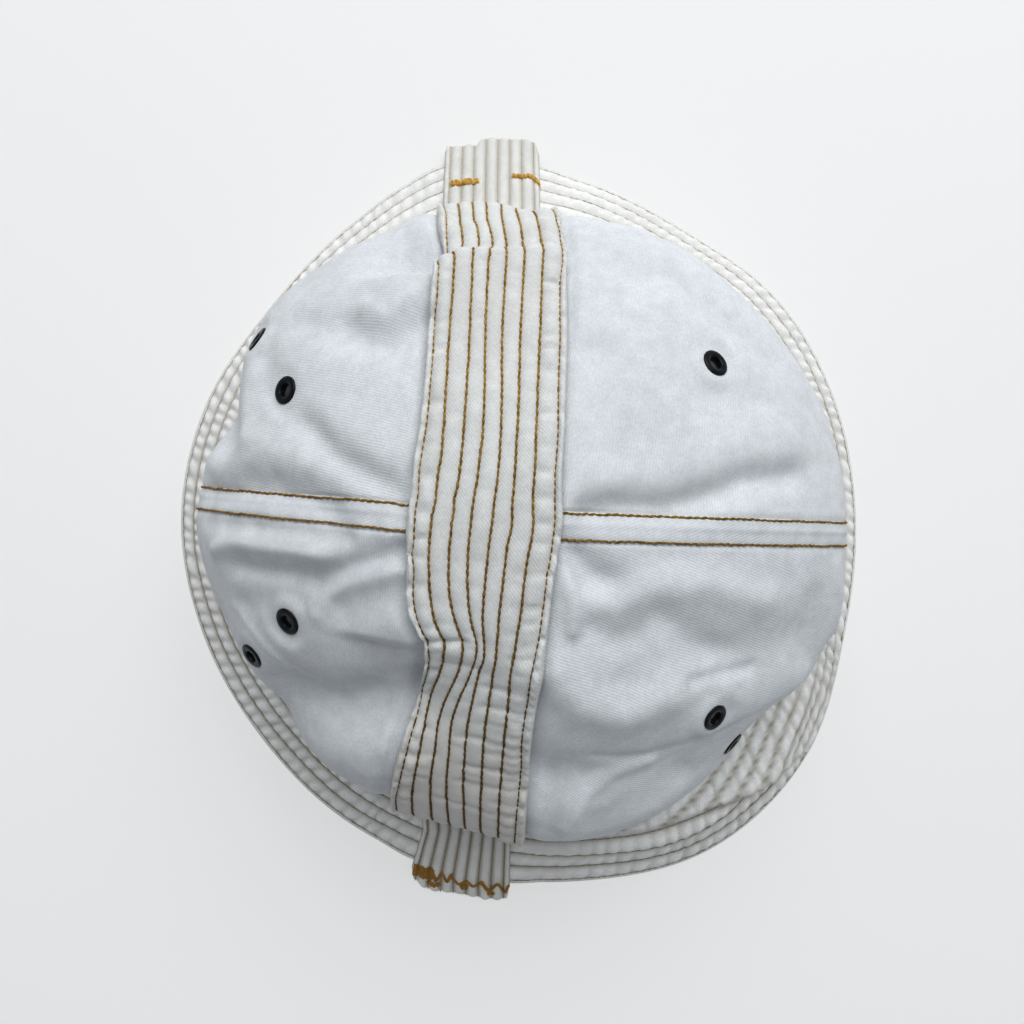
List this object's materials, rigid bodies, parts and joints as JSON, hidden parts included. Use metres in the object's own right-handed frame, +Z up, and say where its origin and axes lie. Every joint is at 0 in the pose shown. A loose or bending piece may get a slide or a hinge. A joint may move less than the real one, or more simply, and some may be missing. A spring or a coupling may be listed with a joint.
{
  "type": "cloth sailor cap",
  "caption": "Soft unlined twill cap with quarter panels, a stitched centre strap, felled side seams, eyelets and a turned-down stitched brim; worn on a head or laid on a surface.",
  "frame": {"origin": "on the surface the cap rests on, under the middle of its outline", "axes": "+Z up out of the crown, +Y along the strap towards the back of the cap, +X towards its right side"},
  "size_m": [0.2752, 0.306, 0.1138],
  "materials": {
    "panel_twill": "bleached blue-white cotton twill",
    "strap_twill": "off-white cotton twill",
    "brim_twill": "off-white stitched cotton twill",
    "thread": "golden-brown sewing thread",
    "eyelet_metal": "black enamelled"
  },
  "bodies": {
    "root": {"crown_back_right": "panel_twill", "crown_back_left": "panel_twill", "crown_front_left": "panel_twill", "crown_front_right": "panel_twill", "side_seam_right": "panel_twill", "side_seam_left": "panel_twill", "crown_strap": "strap_twill", "brim": "brim_twill", "brim_tab_back": "strap_twill", "brim_tab_front": "strap_twill", "eyelet_back_right_upper": "eyelet_metal", "eyelet_back_right_lower": "eyelet_metal", "eyelet_back_left_upper": "eyelet_metal", "eyelet_back_left_lower": "eyelet_metal", "eyelet_front_left_upper": "eyelet_metal", "eyelet_front_left_lower": "eyelet_metal", "eyelet_front_right_upper": "eyelet_metal", "eyelet_front_right_lower": "eyelet_metal"}
  },
  "joints": []
}
